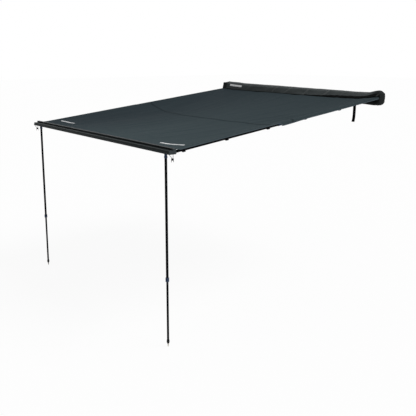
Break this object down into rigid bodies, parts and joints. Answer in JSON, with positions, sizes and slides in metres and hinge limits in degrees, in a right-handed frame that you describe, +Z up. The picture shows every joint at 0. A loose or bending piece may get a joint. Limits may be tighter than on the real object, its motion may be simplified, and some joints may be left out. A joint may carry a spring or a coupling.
{
  "type": "vehicle side awning",
  "caption": "Pull-out side awning for a vehicle roof rack: soft storage bag, telescopic rafters, tensioned canopy and folding telescopic legs.",
  "frame": {"origin": "middle of the back rail's rear face, which is the side that faces the vehicle", "axes": "+Y towards the vehicle, +X along the rails, +Z up; the awning opens out along -Y"},
  "size_m": [2.5, 2.9544, 1.994],
  "materials": {
    "rail_black": "black powder coat",
    "tube_black": "satin black powder coat",
    "bracket_black": "black powder coat",
    "plastic_black": "matte black nylon",
    "plastic_grey": "matte dark grey nylon",
    "collar_blue_grey": "matte blue-grey nylon",
    "steel": "bare zinc-plated steel",
    "canopy_cloth": "coated ripstop cloth, blue-grey black",
    "bag_cloth": "heavy coated cloth, black",
    "webbing": "woven black webbing",
    "cord": "braided black cord"
  },
  "bodies": {
    "vehicle_side": {"back_rail": "rail_black", "back_rail_cap_left": "plastic_black", "back_rail_cap_right": "plastic_black", "roof_bracket_left": "bracket_black", "roof_bracket_right": "bracket_black", "bracket_bolt_left": "steel", "bracket_bolt_right": "steel", "storage_bag": "bag_cloth", "retaining_strap_left": "webbing", "retaining_strap_right": "webbing", "rear_bead": "plastic_black", "canopy": "canopy_cloth", "canopy_loop_left_1": "webbing", "canopy_loop_left_2": "webbing", "canopy_loop_left_3": "webbing", "canopy_loop_left_4": "webbing", "canopy_loop_left_5": "webbing", "canopy_loop_right_1": "webbing", "canopy_loop_right_2": "webbing", "canopy_loop_right_3": "webbing", "canopy_loop_right_4": "webbing", "canopy_loop_right_5": "webbing", "rafter_pivot_bracket_left": "bracket_black", "rafter_pivot_bracket_right": "bracket_black", "rafter_pivot_pin_left": "steel", "rafter_pivot_pin_right": "steel", "rafter_inner_tube_left": "tube_black", "rafter_inner_tube_right": "tube_black"},
    "front_assembly": {"front_rail": "rail_black", "front_rail_cap_left": "plastic_grey", "front_rail_cap_right": "plastic_grey", "front_bead": "plastic_black", "rafter_outer_tube_left": "tube_black", "rafter_outer_tube_right": "tube_black", "rafter_tip_left": "plastic_black", "rafter_tip_right": "plastic_black", "leg_bracket_left": "bracket_black", "leg_bracket_right": "bracket_black", "leg_pin_left": "steel", "leg_pin_right": "steel", "guy_loop_left": "cord", "guy_loop_right": "cord", "cord_lock_left": "plastic_black", "cord_lock_right": "plastic_black"},
    "flap": {"bag_flap": "bag_cloth"},
    "rafter_collar_left": {"rafter_collar_left": "collar_blue_grey"},
    "leg_upper_left": {"leg_knuckle_left": "collar_blue_grey", "leg_upper_tube_left": "tube_black"},
    "leg_collar_left": {"leg_collar_left": "collar_blue_grey"},
    "leg_lower_left": {"leg_lower_tube_left": "tube_black", "leg_foot_left": "plastic_black", "leg_spike_left": "steel"},
    "rafter_collar_right": {"rafter_collar_right": "collar_blue_grey"},
    "leg_upper_right": {"leg_knuckle_right": "collar_blue_grey", "leg_upper_tube_right": "tube_black"},
    "leg_collar_right": {"leg_collar_right": "collar_blue_grey"},
    "leg_lower_right": {"leg_lower_tube_right": "tube_black", "leg_foot_right": "plastic_black", "leg_spike_right": "steel"}
  },
  "joints": [
    {"name": "extension", "type": "slide", "parent": "vehicle_side", "child": "front_assembly", "axis": [0, 0.9943, 0.1063], "range_m": [0, 1.02], "deforming": ["canopy", "canopy_loop_left_1", "canopy_loop_left_2", "canopy_loop_left_3", "canopy_loop_left_4", "canopy_loop_left_5", "canopy_loop_right_1", "canopy_loop_right_2", "canopy_loop_right_3", "canopy_loop_right_4", "canopy_loop_right_5"]},
    {"name": "flap_lift", "type": "hinge", "parent": "vehicle_side", "child": "flap", "pos_m": [0, -0.116, 0.05], "axis": [-1, 0, 0], "range_deg": [0, 120]},
    {"name": "rafter_twist_left", "type": "hinge", "parent": "front_assembly", "child": "rafter_collar_left", "pos_m": [-1.215, -0.06, 0], "axis": [0, 0.9943, 0.1063], "range_deg": [0, 90]},
    {"name": "leg_fold_left", "type": "hinge", "parent": "front_assembly", "child": "leg_upper_left", "pos_m": [-1.175, -2.8042, -0.29458], "axis": [0, -0.9999, 0.014], "range_deg": [0, 90.6]},
    {"name": "leg_twist_left", "type": "hinge", "parent": "leg_upper_left", "child": "leg_collar_left", "pos_m": [-1.175, -2.8042, -0.29458], "axis": [-0.0105, -0.014, -0.9998], "range_deg": [0, 90]},
    {"name": "leg_length_left", "type": "slide", "parent": "leg_upper_left", "child": "leg_lower_left", "axis": [-0.0105, -0.014, -0.9998], "range_m": [-0.48, 0.32]},
    {"name": "rafter_twist_right", "type": "hinge", "parent": "front_assembly", "child": "rafter_collar_right", "pos_m": [1.215, -0.06, 0], "axis": [0, 0.9943, 0.1063], "range_deg": [0, 90]},
    {"name": "leg_fold_right", "type": "hinge", "parent": "front_assembly", "child": "leg_upper_right", "pos_m": [1.175, -2.83019, -0.29422], "axis": [0, 0.9999, -0.014], "range_deg": [0, 90.6]},
    {"name": "leg_twist_right", "type": "hinge", "parent": "leg_upper_right", "child": "leg_collar_right", "pos_m": [1.175, -2.83019, -0.29422], "axis": [0.0105, -0.014, -0.9998], "range_deg": [0, 90]},
    {"name": "leg_length_right", "type": "slide", "parent": "leg_upper_right", "child": "leg_lower_right", "axis": [0.0105, -0.014, -0.9998], "range_m": [-0.48, 0.32]}
  ]
}
